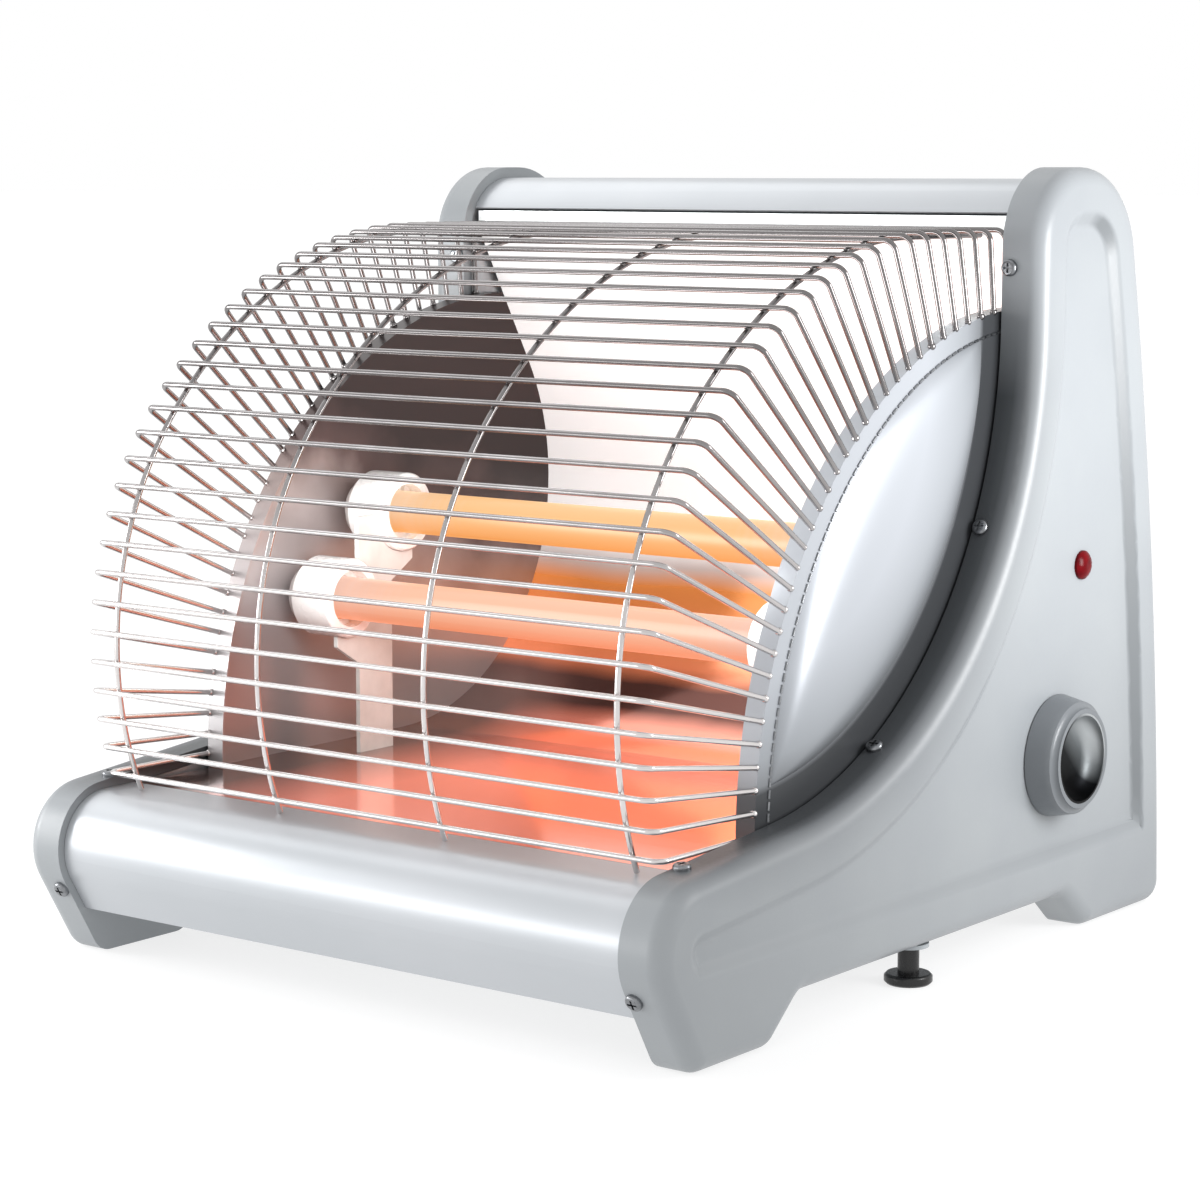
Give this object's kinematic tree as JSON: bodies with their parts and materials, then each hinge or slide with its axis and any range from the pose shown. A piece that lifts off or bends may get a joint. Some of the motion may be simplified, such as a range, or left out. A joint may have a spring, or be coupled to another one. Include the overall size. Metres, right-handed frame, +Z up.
{
  "type": "radiant heater",
  "caption": "Free-standing radiant heater: glowing rods before a polished trough behind a curved wire guard, between moulded side panels with a selector knob and a tip-over plunger.",
  "frame": {"origin": "on the floor, under the middle of the whole heater with its knob", "axes": "+Z up, -Y out of the front where the guard is, +X towards the side panel with the knob"},
  "size_m": [0.3094, 0.3471, 0.2978],
  "materials": {
    "panel_plastic": "silver-grey moulding, satin",
    "shell_metal": "silver paint, satin",
    "inner_metal": "grey paint",
    "mirror_metal": "polished sheet",
    "disc_metal": "polished sheet",
    "guard_wire": "bright plated wire",
    "upper_glow": "glowing tube",
    "lower_glow": "glowing tube",
    "rod_core": "wound core",
    "holder_ceramic": "white glaze",
    "bracket_metal": "pale grey paint",
    "fixing_steel": "zinc plated",
    "knob_plastic": "silver moulding",
    "knob_chrome": "polished dish",
    "lamp_red": "clear red lens",
    "switch_plastic": "black moulding",
    "plunger_plastic": "black moulding",
    "guide_plastic": "grey moulding",
    "gland_rubber": "black",
    "lead_sleeve": "white sleeve"
  },
  "bodies": {
    "housing": {"right_side_panel": "panel_plastic", "left_side_panel": "panel_plastic", "front_panel": "shell_metal", "top_cover": "shell_metal", "right_inner_cover": "inner_metal", "left_inner_cover": "inner_metal", "base_pan": "inner_metal", "back_panel": "inner_metal", "reflector": "mirror_metal", "right_reflector_end": "disc_metal", "left_reflector_end": "disc_metal", "guard_bars": "guard_wire", "guard_hoops": "guard_wire", "upper_rod": "upper_glow", "lower_rod": "lower_glow", "upper_rod_core": "rod_core", "lower_rod_core": "rod_core", "upper_left_holder": "holder_ceramic", "upper_right_holder": "holder_ceramic", "lower_left_holder": "holder_ceramic", "lower_right_holder": "holder_ceramic", "right_rod_bracket": "bracket_metal", "left_rod_bracket": "bracket_metal", "right_side_screws": "fixing_steel", "left_side_screws": "fixing_steel", "back_panel_screws": "fixing_steel", "rod_terminals": "fixing_steel", "switch_nut": "fixing_steel", "plunger_spring": "fixing_steel", "pilot_lamp_lens": "lamp_red", "rotary_switch": "switch_plastic", "pilot_lamp_holder": "switch_plastic", "tip_switch": "switch_plastic", "thermal_cutout": "switch_plastic", "terminal_block": "switch_plastic", "plunger_guide": "guide_plastic", "cord_gland": "gland_rubber", "leads": "lead_sleeve"},
    "knob": {"selector_knob": "knob_plastic", "knob_dish": "knob_chrome", "switch_spindle": "fixing_steel"},
    "plunger": {"tip_plunger": "plunger_plastic"}
  },
  "joints": [
    {"name": "knob_turn", "type": "hinge", "parent": "housing", "child": "knob", "pos_m": [0.14215, 0.08675, 0.0725], "axis": [1, 0, 0], "range_deg": [0, 180]},
    {"name": "plunger_slide", "type": "slide", "parent": "housing", "child": "plunger", "axis": [0, 0, -1], "range_m": [0, 0.008], "stiffness_N_per_m": 150, "springref_m": 0.016, "deforming": ["plunger_spring"]}
  ]
}
